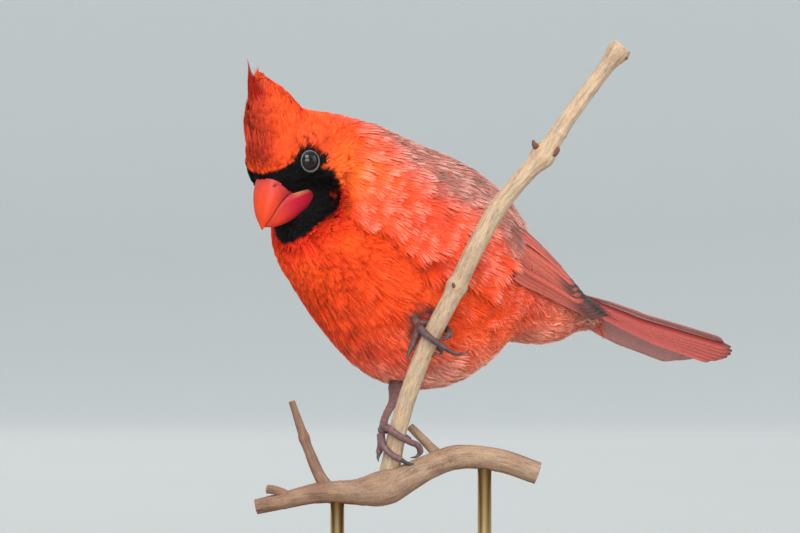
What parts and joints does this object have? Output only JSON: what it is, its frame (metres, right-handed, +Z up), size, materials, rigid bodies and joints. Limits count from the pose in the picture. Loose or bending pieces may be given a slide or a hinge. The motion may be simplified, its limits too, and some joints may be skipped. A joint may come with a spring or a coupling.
{
  "type": "perched songbird",
  "caption": "Life-size male northern cardinal with raised crest, gripping a cut length of slanted stem, on a plain round display stand.",
  "frame": {"origin": "centre of the round base's underside, at floor level", "axes": "+Z up, -X towards the bill, +X towards the tail, -Y to the bird's left side"},
  "size_m": [0.1968, 0.1391, 0.1866],
  "materials": {
    "plumage": "soft red contour feathers",
    "wing_feathers": "layered red and grey-brown vanes",
    "tail_feathers": "long dull red vanes",
    "bill": "smooth coral horn",
    "eye": "wet black",
    "legs": "scaly brown-purple skin and dark claws",
    "stem_bark": "tan bark with fine long streaks",
    "branch_bark": "rough brown bark",
    "stand_wood": "dark satin hardwood",
    "stand_rod": "satin"
  },
  "bodies": {
    "root": {"torso": "plumage", "neck": "plumage", "head": "plumage", "crest": "plumage", "bill_upper": "bill", "bill_lower": "bill", "eye_left": "eye", "eye_right": "eye", "wing_left": "wing_feathers", "wing_right": "wing_feathers", "tail": "tail_feathers", "leg_left": "legs", "leg_right": "legs", "foot_left": "legs", "foot_right": "legs", "perch_stem": "stem_bark", "perch_branch": "branch_bark", "stand_base": "stand_wood", "stand_rod_front": "stand_rod", "stand_rod_back": "stand_rod"}
  },
  "joints": []
}
